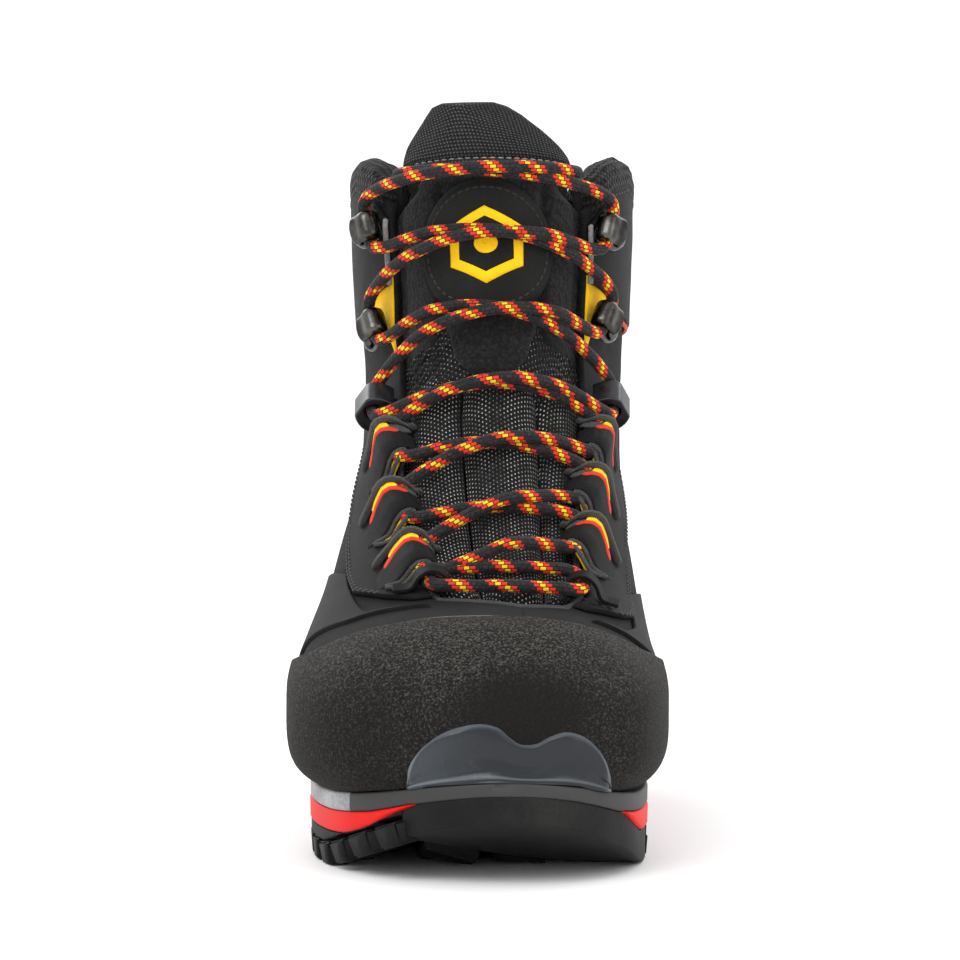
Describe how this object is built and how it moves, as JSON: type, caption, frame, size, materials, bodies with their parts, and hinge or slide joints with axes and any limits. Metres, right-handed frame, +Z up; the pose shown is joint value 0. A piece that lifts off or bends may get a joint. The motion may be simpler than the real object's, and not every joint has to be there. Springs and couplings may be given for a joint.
{
  "type": "mountaineering boot",
  "caption": "Right mountaineering boot with a stiff lugged sole, rubber rand, crampon ledges, a hinged flexing cuff, padded tongue, hooks and a laced closure.",
  "frame": {"origin": "centre of the boot's footprint on the ground", "axes": "+Z up, -Y towards the toe, +X towards the inner side of the foot"},
  "size_m": [0.1182, 0.299, 0.2335],
  "materials": {
    "lug_rubber": "matte",
    "red_foam": "satin",
    "grey_foam": "matte",
    "ledge_plastic": "satin",
    "rand_rubber": "matte",
    "shell_fabric": "matte",
    "panel_microfibre": "matte",
    "tongue_knit": "matte",
    "padded_fabric": "matte",
    "lining_fabric": "matte",
    "board_fibre": "matte",
    "stiff_plastic": "matte",
    "webbing": "matte",
    "yellow_fabric": "matte",
    "badge_rubber": "satin",
    "hook_metal": "gloss",
    "black_nylon": "gloss",
    "lace_cord": "matte"
  },
  "bodies": {
    "foot": {"outsole_forefoot": "lug_rubber", "outsole_heel": "lug_rubber", "midsole_red": "red_foam", "midsole_grey": "grey_foam", "toe_platform": "lug_rubber", "toe_insert": "ledge_plastic", "heel_insert": "ledge_plastic", "rubber_rand": "rand_rubber", "upper_shell": "shell_fabric", "toe_puff": "stiff_plastic", "heel_counter": "stiff_plastic", "shank_board": "board_fibre", "foot_lining": "lining_fabric", "footbed": "board_fibre", "tongue_lower_lateral": "tongue_knit", "tongue_lower_center": "tongue_knit", "tongue_lower_medial": "tongue_knit", "tongue_flex_knit": "tongue_knit", "ankle_gusset": "shell_fabric", "lace_facing_lateral": "panel_microfibre", "lace_facing_medial": "panel_microfibre", "lace_eyelet_lateral": "webbing", "lace_eyelet_medial": "webbing", "lace_loop_lateral_1": "webbing", "lace_loop_lateral_2": "webbing", "lace_loop_lateral_3": "webbing", "lace_loop_medial_1": "webbing", "lace_loop_medial_2": "webbing", "lace_loop_medial_3": "webbing", "locking_eyelet_lateral": "black_nylon", "locking_eyelet_medial": "black_nylon", "lace": "lace_cord"},
    "cuff": {"tongue_upper": "padded_fabric", "tongue_badge": "badge_rubber", "cuff_shell": "shell_fabric", "collar_padding": "padded_fabric", "heel_pull_loop": "webbing", "cuff_panel_lateral": "panel_microfibre", "cuff_panel_medial": "panel_microfibre", "hook_backing_lateral": "yellow_fabric", "hook_backing_medial": "yellow_fabric", "hook_lower_lateral": "hook_metal", "hook_upper_lateral": "hook_metal", "hook_lower_medial": "hook_metal", "hook_upper_medial": "hook_metal", "hook_rivet_lower_lateral": "hook_metal", "hook_rivet_upper_lateral": "hook_metal", "hook_rivet_lower_medial": "hook_metal", "hook_rivet_upper_medial": "hook_metal", "lace_tip_lateral": "black_nylon", "lace_tip_medial": "black_nylon"},
    "tongue_flap": {"tongue_top_flap": "padded_fabric"}
  },
  "joints": [
    {"name": "ankle_flex", "type": "hinge", "parent": "foot", "child": "cuff", "pos_m": [0, 0.035, 0.125], "axis": [1, 0, 0], "range_deg": [-6, 12], "stiffness_Nm_per_rad": 4, "deforming": ["ankle_gusset", "tongue_flex_knit", "lace"]},
    {"name": "tongue_fold", "type": "hinge", "parent": "cuff", "child": "tongue_flap", "pos_m": [0.0035, 0.0124, 0.2128], "axis": [1, 0, 0], "range_deg": [-5, 25], "stiffness_Nm_per_rad": 0.06}
  ]
}
